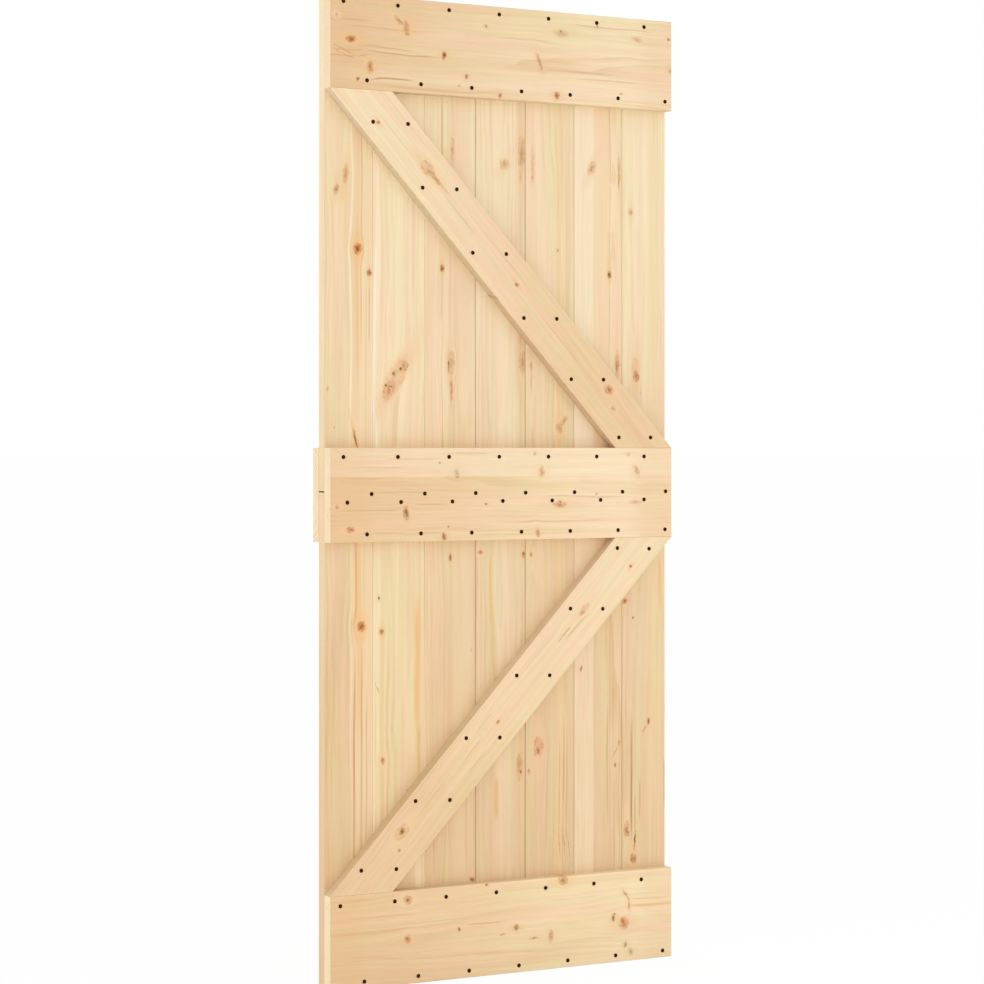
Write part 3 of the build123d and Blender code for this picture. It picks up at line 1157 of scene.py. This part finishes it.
@dataclass
class FrontRails:
    """The three level rails across the front, and the one behind the panel.

    Attributes:
        tan_end: Tone at the end where the grain starts, on the left.
        pale_end: Tone at the other end.
        pale_band: Tone of the pale bands along them.
        tan_band: Tone of the tan bands along them and of their ends.
        line: Tone of their fine streaks.
    """

    tan_end: Shade = Shade(238, 205, 162)
    pale_end: Shade = Shade(252, 229, 192)
    pale_band: Shade = Shade(253, 231, 199)
    tan_band: Shade = Shade(232, 190, 141)
    line: Shade = Shade(212, 162, 106)

    def rails(self) -> List[Plank]:
        """Gives all rails."""
        return [self.top_rail(), self.middle_rail(), self.bottom_rail(), self.back_rail()]

    def top_rail(self) -> Plank:
        """Gives the top rail."""
        pine = Pine(self.tan_end, self.pale_end, -20, -66, 0.030, 9.0, 1.25, 11.0)
        knots = [
            Knot(49, 2005, 22, 16, AMBER, 0.75),
            Knot(15, 2054, 7, 16, PINK, 0.9),
            Knot(841, 2060, 6, 7, UMBER, 0.7),
            Knot(34, 1981, 72, 5, TAN, 0.6, slant=21, push=0.0),
            Knot(38, 1971, 80, 4, TAN, 0.6, slant=18, push=0.0),
            Knot(180, 2038, 15, 32, AMBER, 0.8, slant=-12, push=0.5),
            Knot(163, 2051, 30, 11, TAN, 0.7, slant=38, push=0.0),
            Knot(94, 1949, 14, 26, AMBER, 0.6, push=0.9),
            Knot(65, 1922, 8, 9, UMBER, 0.9),
            Knot(271, 1986, 11, 19, UMBER, 1.0, push=0.6),
            Knot(325, 1943, 8, 11, RUST, 0.9),
            Knot(308, 1922, 5, 5, TAN, 0.8),
            Knot(374, 2056, 6, 9, UMBER, 0.6),
            Knot(408, 1907, 11, 11, RUST, 0.8),
            Knot(563, 2053, 34, 16, TAN, 0.45),
            Knot(562, 2057, 9, 6, UMBER, 0.6, push=0.0),
            Knot(507, 1988, 9, 44, RUST, 0.6, slant=-22, push=0.2),
            Knot(552, 1916, 13, 17, RUST),
            Knot(654, 2076, 6, 7, RUST, 0.8),
            Knot(759, 2053, 30, 13, TAN, 0.45, slant=12),
            Knot(717, 1930, 5, 5, TAN, 0.8),
            Knot(846, 1989, 8, 12, RUST, 0.5),
        ]
        streaks = [
            Streak(0, 2000, 240, 260, self.tan_band, 0.5, STRIP),
            Streak(850, 2000, 200, 260, self.tan_band, 0.25, STRIP),
            Streak(425, 1973, 1000, 24, self.tan_band, 0.3),
            Streak(425, 1933, 1000, 40, self.pale_band, 0.3),
            Streak(135, 1991, 150, 5, self.line, 0.5),
            Streak(165, 1981, 200, 5, self.line, 0.7),
            Streak(145, 1928, 116, 5, Shade(196, 138, 78), 0.9),
            Streak(45, 2044, 120, 5, self.line, 0.4),
            Streak(120, 2030, 220, 4, self.line, 0.4),
            Streak(40, 1985, 100, 6, self.line, 0.6),
            Streak(45, 1972, 110, 5, self.line, 0.5),
            Streak(600, 1972, 240, 7, self.line, 0.4),
            Streak(690, 1958, 180, 6, self.line, 0.35),
            Streak(690, 2072, 250, 5, self.line, 0.4),
            Streak(470, 2034, 170, 5, self.line, 0.35),
        ]
        return Plank("top_rail", Grain.LEVEL, pine, knots, streaks)

    def middle_rail(self) -> Plank:
        """Gives the middle rail, with a paler band along its top."""
        pine = Pine(self.tan_end, self.pale_end, 36, -50, 0.026, 8.5, 1.0, 12.0)
        knots = [
            Knot(48, 970, 20, 13, RUST, 0.85),
            Knot(282, 973, 5, 5, UMBER, 0.7),
            Knot(16, 1017, 9, 14, TAN, 0.6),
            Knot(180, 1004, 14, 30, UMBER, 0.7, slant=-10, push=0.5),
            Knot(271, 952, 10, 17, UMBER, 0.9, push=0.6),
            Knot(302, 1089, 14, 22, GREY, 0.45, push=0.6),
            Knot(303, 1080, 9, 4, UMBER, 0.6, push=0.0),
            Knot(260, 1110, 5, 5, TAN, 0.8),
            Knot(374, 1022, 5, 5, UMBER, 0.8),
            Knot(559, 1018, 34, 15, RUST, 0.6),
            Knot(560, 1024, 8, 6, UMBER, 0.7, push=0.0),
            Knot(513, 1090, 15, 24, TAN, 0.6, slant=-8, push=0.6),
            Knot(757, 1092, 13, 30, TAN, 0.55, slant=-24, push=0.5),
            Knot(654, 1041, 5, 5, TAN, 0.8),
            Knot(755, 1022, 38, 9, PINK, 0.7),
            Knot(503, 957, 10, 22, RUST, 0.6, slant=-12, push=0.6),
            Knot(495, 1130, 12, 8, GREY, 0.4),
            Knot(736, 1129, 12, 8, GREY, 0.4),
        ]
        streaks = [
            Streak(0, 1043, 240, 260, self.tan_band, 0.5, STRIP),
            Streak(850, 1043, 240, 260, self.tan_band, 0.4, STRIP),
            Streak(425, 1112, 1200, 64, self.pale_band, 0.42, STRIP),
            Streak(425, 1060, 1200, 34, self.tan_band, 0.2),
            Streak(75, 1077, 110, 6, self.line, 0.35),
            Streak(170, 1046, 140, 4, self.line, 0.5),
            Streak(100, 1010, 170, 4, self.line, 0.4),
            Streak(240, 1022, 100, 4, self.line, 0.45),
            Streak(190, 962, 220, 5, self.line, 0.45),
            Streak(200, 1118, 150, 5, self.line, 0.3),
            Streak(330, 1130, 130, 6, self.line, 0.35),
            Streak(110, 1100, 160, 5, self.line, 0.25),
            Streak(620, 1036, 240, 5, self.line, 0.3),
            Streak(560, 984, 260, 5, self.line, 0.3),
        ]
        return Plank("middle_rail", Grain.LEVEL, pine, knots, streaks)

    def bottom_rail(self) -> Plank:
        """Gives the bottom rail, with the large knots on its right."""
        pine = Pine(self.tan_end, self.pale_end, -8, -74, 0.034, 9.5, 0.9, 13.0)
        knots = [
            Knot(183, 179, 20, 20, TAN, 1.0),
            Knot(184, 179, 9, 10, UMBER, 0.6, push=0.0),
            Knot(183, 96, 15, 18, RUST, 0.75),
            Knot(375, 197, 7, 5, UMBER, 0.8),
            Knot(307, 107, 6, 9, UMBER),
            Knot(567, 192, 22, 19, AMBER, 0.55),
            Knot(449, 97, 13, 14, UMBER, 0.8),
            Knot(536, 72, 13, 28, TAN, 0.65, push=0.5),
            Knot(724, 85, 26, 28, RUST, 0.75),
            Knot(721, 90, 9, 12, AMBER, 0.7, push=0.0),
            Knot(699, 107, 5, 5, UMBER, 0.8, push=0.0),
            Knot(696, 97, 8, 13, UMBER, 0.9, push=0.4),
            Knot(729, 148, 5, 26, UMBER, 0.6, slant=-34, push=0.2),
            Knot(737, 126, 4, 30, TAN, 0.8, slant=-4, push=0.0),
            Knot(494, 71, 22, 6, TAN, 0.8),
            Knot(415, 86, 16, 5, TAN, 0.7),
            Knot(728, 37, 8, 14, GREY, 0.9),
            Knot(742, 20, 12, 18, GREY, 0.6),
        ]
        streaks = [
            Streak(0, 100, 200, 260, self.tan_band, 0.4, STRIP),
            Streak(850, 100, 200, 260, self.tan_band, 0.25, STRIP),
            Streak(425, 184, 1000, 20, self.tan_band, 0.2),
            Streak(425, 80, 1000, 14, self.tan_band, 0.15),
            Streak(425, 24, 1000, 20, self.tan_band, 0.15),
            Streak(75, 118, 260, 9, Shade(226, 174, 128), 0.6),
            Streak(800, 122, 150, 8, Shade(236, 176, 116), 0.7),
            Streak(790, 136, 120, 5, Shade(236, 176, 116), 0.5),
            Streak(370, 115, 100, 4, self.line, 0.6),
            Streak(120, 150, 180, 5, self.line, 0.3),
            Streak(250, 128, 200, 4, self.line, 0.25),
            Streak(100, 60, 160, 5, self.line, 0.3),
            Streak(330, 52, 200, 4, self.line, 0.25),
            Streak(640, 60, 180, 4, self.line, 0.25),
            Streak(600, 150, 180, 4, self.line, 0.25),
            Streak(60, 186, 120, 6, self.line, 0.3),
        ]
        return Plank("bottom_rail", Grain.LEVEL, pine, knots, streaks)

    def back_rail(self) -> Plank:
        """Gives the rail behind the panel."""
        pine = Pine(self.tan_end, self.pale_end, 14, 60, 0.022, 9.0, 1.5, 14.0)
        knots = [
            Knot(128, 1070, 20, 14, AMBER, 0.9),
            Knot(240, 985, 12, 15, RUST, 0.9),
            Knot(395, 1096, 9, 8, UMBER, 0.8),
            Knot(470, 1003, 24, 18, TAN, 0.9),
            Knot(618, 1060, 15, 20, RUST, 0.8),
            Knot(742, 982, 12, 10, UMBER, 0.8),
        ]
        streaks = [
            Streak(425, 1108, 1000, 40, self.pale_band, 0.4),
            Streak(425, 1010, 1000, 24, self.tan_band, 0.3),
        ]
        return Plank("back_rail", Grain.LEVEL, pine, knots, streaks, face=Face.BACK)


@dataclass
class Braces:
    """The two slanting planks of the K.

    Attributes:
        falling_slope: Turn of the upper brace's grain from level, in degrees.
        rising_slope: Turn of the lower brace's grain from level, in degrees.
        length: Of a brace along its grain, in millimetres.
        tan_end: Tone of the upper brace at the end where its grain starts.
        pale_end: Tone at its other end.
        line: Tone of the fine streaks.
    """

    falling_slope: float = 132.87
    rising_slope: float = 46.65
    length: float = 1030.0
    tan_end: Shade = Shade(240, 208, 166)
    pale_end: Shade = Shade(252, 226, 190)
    line: Shade = Shade(216, 170, 118)

    def braces(self) -> List[Plank]:
        """Gives both braces."""
        return [self.upper_brace(), self.lower_brace()]

    def upper_brace(self) -> Plank:
        """Gives the upper brace, whose grain starts at its lower right end."""
        pine = Pine(self.tan_end, self.pale_end, 12, -62, 0.018, 7.5, 0.45, 21.0)
        knots = [
            Knot(113, 1833, 9, 9, RUST, 0.9),
            Knot(231, 1741, 36, 24, TAN, 1.0),
            Knot(238, 1732, 22, 11, UMBER, 1.0, push=0.0),
            Knot(252, 1718, 44, 10, TAN, 0.7, push=0.0),
            Knot(450, 1499, 11, 9, UMBER, 0.8),
            Knot(399, 1467, 11, 9, GREY, 0.45, push=0.0),
            Knot(685, 1271, 24, 20, RUST, 0.85),
            Knot(696, 1231, 14, 9, TAN, 0.8),
        ]
        streaks = [
            Streak(264, 1705, 60, 6, self.line, 0.8),
            Streak(309, 1642, 130, 5, self.line, 0.4),
            Streak(150, 1812, 160, 4, self.line, 0.35),
            Streak(560, 1380, 180, 5, self.line, 0.4),
            Streak(430, 1546, 200, 4, self.line, 0.3),
            Streak(740, 1196, 120, 5, self.line, 0.4),
        ]
        # The edge tint paints shade on the brace's long side faces.
        return Plank(
            "upper_brace", Grain.FALLING, pine, knots, streaks,
            slope=self.falling_slope, length=self.length, edge=(0.764, 0.791, 0.82),
        )

    def lower_brace(self) -> Plank:
        """Gives the lower brace, whose grain starts at its lower left end."""
        pine = Pine(Shade(237, 205, 163), Shade(249, 223, 186), -14, -56, 0.020, 8.0, 0.5, 22.0)
        knots = [
            Knot(742, 879, 8, 8, RUST, 0.9),
            Knot(622, 788, 34, 16, PINK, 1.0),
            Knot(616, 779, 14, 9, TAN, 0.9, push=0.0),
            Knot(570, 733, 40, 4, TAN, 0.7, push=0.0),
            Knot(404, 548, 10, 7, RUST, 0.9),
            Knot(169, 325, 40, 23, TAN, 0.9),
            Knot(170, 326, 16, 12, UMBER, 1.0, push=0.0),
            Knot(163, 286, 8, 7, TAN, 0.8),
        ]
        streaks = [
            Streak(340, 491, 70, 5, self.line, 0.5),
            Streak(350, 463, 70, 5, self.line, 0.4),
            Streak(370, 549, 70, 5, self.line, 0.4),
            Streak(600, 752, 90, 5, self.line, 0.6),
            Streak(500, 690, 180, 4, self.line, 0.3),
            Streak(230, 380, 160, 5, self.line, 0.35),
        ]
        # The edge tint paints shade on the brace's long side faces.
        return Plank(
            "lower_brace", Grain.RISING, pine, knots, streaks,
            slope=self.rising_slope, length=self.length, edge=(0.8, 0.84, 0.85),
        )


@dataclass(frozen=True)
class NailSteel:
    """The dark, waxed steel of the nail heads.

    Attributes:
        dark: Its main tone.
        rust: Tone of its rusty specks.
        roughness: Its roughness.
        specular: How strongly it reflects, where 0.5 is usual.
        speck_scale: How many specks lie along a metre.
        bump_strength: How strongly the specks stand out.
        bump_depth: How far they stand out, in metres.
    """

    dark: Shade = Shade(50, 20, 2)
    rust: Shade = Shade(80, 40, 8)
    roughness: float = 0.7
    specular: float = 0.06
    speck_scale: float = 900.0
    bump_strength: float = 0.3
    bump_depth: float = 0.0001

    def make(self) -> bpy.types.Material:
        """Makes the material.

        Returns:
            The new material.
        """
        material = bpy.data.materials.new("nail_steel")
        w = Wiring.fresh(material)
        where = w.node("ShaderNodeTexCoord", {})
        speck = w.noise(w.vector("MULTIPLY", where.outputs["Object"], (self.speck_scale,) * 3), 3.0, 0.6)
        colour = w.blend(w.step(speck, 0.35, 0.75), self.dark.linear(), self.rust.linear())
        bump = {"Height": speck, "Strength": self.bump_strength, "Distance": self.bump_depth}
        w.surface(colour, self.roughness, self.specular, bump)
        return material


@dataclass
class NailHead:
    """One nail head, with its shank's top sunk in the wood.

    Attributes:
        radius: Of the head, in millimetres.
        proud: How far its rim stands out of the wood, in millimetres.
        sunk: How far it goes into the wood, in millimetres.
        sides: How many flat sides make it round.
        round_edge: Size of its rounded edge, in millimetres.
        step: Breadth of each step of its crown, in millimetres.
        rises: Height of each step of its crown, in millimetres.
    """

    radius: float = 4.5
    proud: float = 0.5
    sunk: float = 1.5
    sides: int = 20
    round_edge: float = 0.2
    step: float = 1.1
    rises: Tuple[float, ...] = (0.1, 0.05)

    def model(self) -> bpy.types.Object:
        """Models the head at the middle of the frame, facing the front.

        Returns:
            The nail head.
        """
        bpy.ops.object.select_all(action="DESELECT")
        depth = (self.proud + self.sunk) * MM
        middle = (self.sunk - self.proud) / 2 * MM
        bpy.ops.mesh.primitive_cylinder_add(
            vertices=self.sides, radius=self.radius * MM, depth=depth,
            location=(0.0, middle, 0.0), rotation=(math.pi / 2, 0.0, 0.0),
        )
        head = bpy.context.object
        bpy.ops.object.transform_apply(location=True, rotation=True, scale=True)
        self.select_front(head)
        bpy.ops.object.mode_set(mode="EDIT")
        bpy.ops.mesh.bevel(offset=self.round_edge * MM, segments=2, affect="EDGES")
        bpy.ops.object.mode_set(mode="OBJECT")
        self.select_front(head)
        bpy.ops.object.mode_set(mode="EDIT")
        for rise in self.rises:
            bpy.ops.mesh.inset(thickness=self.step * MM, depth=rise * MM)
        bpy.ops.object.mode_set(mode="OBJECT")
        return head

    def select_front(self, head: bpy.types.Object) -> None:
        """Selects only the face that looks to the front."""
        bpy.ops.object.mode_set(mode="EDIT")
        bpy.ops.mesh.select_mode(type="FACE")
        bpy.ops.mesh.select_all(action="DESELECT")
        bpy.ops.object.mode_set(mode="OBJECT")
        for polygon in head.data.polygons:
            polygon.select = polygon.normal.y < -0.99


@dataclass
class Nails:
    """All nails of the leaf, by the plank that they hold, in millimetres on the leaf.

    Attributes:
        pitch: From one nail of a row to the next.
        first_pitch: From the first nail of a row to the second.
        middle_pitches: From each nail to the next in the two rows along the middle of the middle rail.
        pair: From the left nail of a pair on a brace to the right one.
        upper_lefts: Across and up of the left nail of each pair on the upper brace.
        lower_lefts: The same on the lower brace.
        lower_drop: How much lower the right nail of a pair is on the lower brace.
        smooth_angle: The steepest edge that is shaded smooth, in degrees.
    """

    pitch: float = 123.4
    first_pitch: float = 128.6
    middle_pitches: Tuple[float, ...] = (127.0, 124.0, 124.0, 124.0, 124.0, 113.4)
    pair: float = 83.0
    upper_lefts: Tuple[Spot, ...] = (
        (101, 1833), (219, 1699), (341, 1564), (468, 1426), (588, 1294), (711, 1166),
    )
    lower_lefts: Tuple[Spot, ...] = (
        (707, 920), (586, 789), (450, 647), (325, 517), (202, 389), (73, 250),
    )
    lower_drop: float = 2.8
    smooth_angle: float = 40.0

    def row(self, start: float, up: float, pitches: Sequence[float]) -> List[Spot]:
        """Gives a row of nails.

        Args:
            start: Across, of the first nail.
            up: Height of the row.
            pitches: From each nail to the next.

        Returns:
            Across and up of each nail.
        """
        places = [(start, up)]
        for pitch in pitches:
            places.append((places[-1][0] + pitch, up))
        return places

    def even_row(self, start: float, up: float) -> List[Spot]:
        """Gives a row with one nail for each board."""
        return self.row(start, up, [self.first_pitch] + [self.pitch] * 5)

    def middle_row(self, start: float, up: float) -> List[Spot]:
        """Gives one of the two rows along the middle of the middle rail."""
        return self.row(start, up, self.middle_pitches)

    def pairs(self, lefts: Sequence[Spot], drop: float) -> List[Spot]:
        """Gives pairs of nails along a brace.

        Args:
            lefts: Across and up of the left nail of each pair.
            drop: How much lower the right nail is.

        Returns:
            Across and up of each nail.
        """
        return [place for a, b in lefts for place in ((a, b), (a + self.pair, b - drop))]

    def sets(self) -> Dict[str, List[Spot]]:
        """Gives the nails' places by the name of the plank that they hold."""
        top = self.even_row(31.2, 2083.3) + self.even_row(86.6, 1919.8)
        middle = self.even_row(31.2, 1123.6) + self.even_row(86.6, 960.0)
        middle += self.middle_row(97.4, 1045.2) + self.middle_row(40.4, 1027.5)
        bottom = self.even_row(23.9, 178.9) + self.even_row(80.3, 15.1)
        return {
            "top_rail": top,
            "middle_rail": middle,
            "bottom_rail": bottom,
            "upper_brace": self.pairs(self.upper_lefts, 0.0),
            "lower_brace": self.pairs(self.lower_lefts, self.lower_drop),
            "back_rail": self.even_row(36.0, 1124.0) + self.even_row(81.0, 961.0),
        }

    def build(self, leaf: Leaf, steel: bpy.types.Material) -> List[bpy.types.Object]:
        """Models one head, copies it to every place, and joins the copies plank by plank.

        Args:
            leaf: Turns places on the leaf into the frame.
            steel: The heads' material.

        Returns:
            One piece for each plank that is nailed.
        """
        pattern = NailHead().model()
        pattern.data.materials.append(steel)
        made = []
        for plank, places in self.sets().items():
            back = plank == "back_rail"
            depth = leaf.thickness() if back else 0.0
            copies = []
            for across, up in places:
                copy = pattern.copy()
                copy.data = pattern.data.copy()
                bpy.context.collection.objects.link(copy)
                copy.location = leaf.point(across, up, depth)
                copy.rotation_euler = (0.0, 0.0, math.pi if back else 0.0)
                copies.append(copy)
            made.append(self.join(plank + "_nails", copies))
        bpy.data.objects.remove(pattern)
        return made

    def join(self, name: str, copies: Sequence[bpy.types.Object]) -> bpy.types.Object:
        """Joins copies into one piece whose place is in its mesh.

        Args:
            name: Name of the piece.
            copies: The heads.

        Returns:
            The piece.
        """
        bpy.ops.object.select_all(action="DESELECT")
        for copy in copies:
            copy.select_set(True)
        bpy.context.view_layer.objects.active = copies[0]
        bpy.ops.object.transform_apply(location=True, rotation=True, scale=True)
        bpy.ops.object.join()
        piece = bpy.context.object
        piece.name = name
        bpy.ops.object.shade_smooth_by_angle(angle=math.radians(self.smooth_angle))
        bpy.ops.object.select_all(action="DESELECT")
        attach(piece, BODY)
        return piece


@dataclass(frozen=True)
class Lamp:
    """A square soft lamp that the camera doesn't see.

    Attributes:
        name: Its name.
        place: Where it stands in the frame, in metres.
        aim: The point that it looks at, in metres.
        size: Length of its side, in metres.
        power: Its power, in watts.
        spread: The angle that its light keeps within, in degrees.
    """

    name: str
    place: Triple
    aim: Triple
    size: float
    power: float
    spread: float

    def build(self) -> None:
        """Adds the lamp to the scene."""
        data = bpy.data.lights.new(self.name, "AREA")
        data.size = self.size
        data.energy = self.power
        data.spread = math.radians(self.spread)
        lamp = bpy.data.objects.new(self.name, data)
        bpy.context.collection.objects.link(lamp)
        lamp.location = self.place
        lamp.visible_camera = False
        lamp.rotation_euler = (Vector(self.aim) - lamp.location).to_track_quat("-Z", "Y").to_euler()


@dataclass
class Studio:
    """A white studio: floor, sky, lamps and the camera of the photograph.

    Attributes:
        turn: The camera's turn to the right from the leaf's own front, in degrees.
        eye: The camera's place in the frame, in metres.
        lens: Focal length, in millimetres.
        sensor: Width of the camera's sensor, in millimetres.
        shift_up: Shift of the picture, as a share of its width.
        view_end: How far the camera sees, in metres.
        sky_round: Strength of the light from all round.
        sky_ahead: Strength that the sky gains towards straight ahead of the leaf and straight behind it.
        floor_side: Length of the floor's side, in metres.
        floor_paint: The floor's colour.
        floor_glow: How much of the floor's own shading gives way to plain white in the picture.
        lamps: The lamps: light off the floor ahead, light at the foot, and light along the left edge.
    """

    turn: float = 28.96
    eye: Triple = (-2.9326, -5.2333, -0.856)
    lens: float = 100.98
    sensor: float = 36.0
    shift_up: float = -0.0454
    view_end: float = 1000.0
    sky_round: float = 0.78
    sky_ahead: float = 0.27
    floor_side: float = 600.0
    floor_paint: Shade = Shade(245, 245, 245)
    floor_glow: float = 0.95
    lamps: Tuple[Lamp, ...] = (
        Lamp("lamp_bounce", (-0.3, -3.7, 3.0), (-0.3, -3.7, -2.0), 7.0, 46.0, 20.0),
        Lamp("lamp_foot", (-0.2, -1.25, 1.5), (-0.2, -1.25, -2.0), 2.0, 2.0, 10.0),
        Lamp("lamp_rim", (-5.0, 0.9, -0.9), (0.0, 0.0, -0.95), 2.2, 26.0, 180.0),
    )

    def build(self, leaf: Leaf) -> None:
        """Sets up everything round the leaf."""
        self.floor(leaf)
        self.world()
        for lamp in self.lamps:
            lamp.build()
        self.camera()
        bpy.context.scene.view_settings.view_transform = "Standard"

    def floor(self, leaf: Leaf) -> None:
        """Lays a wide pale floor under the leaf's foot, which keeps a trace of the leaf's shadow."""
        bpy.ops.object.select_all(action="DESELECT")
        bpy.ops.mesh.primitive_plane_add(size=self.floor_side, location=(0.0, 0.0, leaf.low[2]))
        floor = bpy.context.object
        floor.name = "studio_floor"
        bpy.ops.object.transform_apply(location=True, rotation=True, scale=True)
        material = bpy.data.materials.new("studio_floor")
        w = Wiring.fresh(material)
        paint = w.node("ShaderNodeBsdfDiffuse", {"Color": self.floor_paint.linear()})
        glow = w.node("ShaderNodeEmission", {"Color": WHITE, "Strength": 1.0})
        factor = w.math("MULTIPLY", w.seen(), self.floor_glow)
        mixed = w.node("ShaderNodeMixShader", {0: factor, 1: paint.outputs[0], 2: glow.outputs[0]})
        w.node("ShaderNodeOutputMaterial", {"Surface": mixed.outputs[0]})
        floor.data.materials.append(material)
        floor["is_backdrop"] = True

    def world(self) -> None:
        """Makes a soft white sky, stronger ahead and behind, which the camera sees at full white."""
        world = bpy.data.worlds.new("studio_sky")
        w = Wiring.fresh(world)
        ahead = w.dot(w.node("ShaderNodeTexCoord", {}).outputs["Generated"], (0.0, -1.0, 0.0))
        strength = w.math("MULTIPLY_ADD", w.math("ABSOLUTE", ahead), self.sky_ahead, self.sky_round)
        light = w.node("ShaderNodeBackground", {"Color": WHITE, "Strength": strength})
        shown = w.node("ShaderNodeBackground", {"Color": WHITE, "Strength": 1.0})
        mixed = w.node("ShaderNodeMixShader", {0: w.seen(), 1: light.outputs[0], 2: shown.outputs[0]})
        w.node("ShaderNodeOutputWorld", {"Surface": mixed.outputs[0]})
        bpy.context.scene.world = world

    def camera(self) -> None:
        """Adds the level camera that stands where the photograph was taken."""
        data = bpy.data.cameras.new("photo_camera")
        data.lens = self.lens
        data.sensor_width = self.sensor
        data.shift_y = self.shift_up
        data.clip_end = self.view_end
        camera = bpy.data.objects.new("photo_camera", data)
        bpy.context.collection.objects.link(camera)
        camera.location = self.eye
        camera.rotation_euler = (math.pi / 2, 0.0, -math.radians(self.turn))
        bpy.context.scene.camera = camera


def main() -> None:
    """Dresses the planks, adds the nails, and sets up the studio."""
    logging.basicConfig(level=logging.INFO, format="%(name)s: %(message)s")
    low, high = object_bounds()
    leaf = Leaf(tuple(low), tuple(high))
    groups = PineGroups()
    for plank in BoardedPanel().boards() + FrontRails().rails() + Braces().braces():
        plank.dress(leaf, groups)
        LOG.info("dressed %s with %d knots", plank.node, len(plank.knots))
    for piece in Nails().build(leaf, NailSteel().make()):
        LOG.info("made %s with %d faces", piece.name, len(piece.data.polygons))
    Studio().build(leaf)


if __name__ == "__main__":
    main()
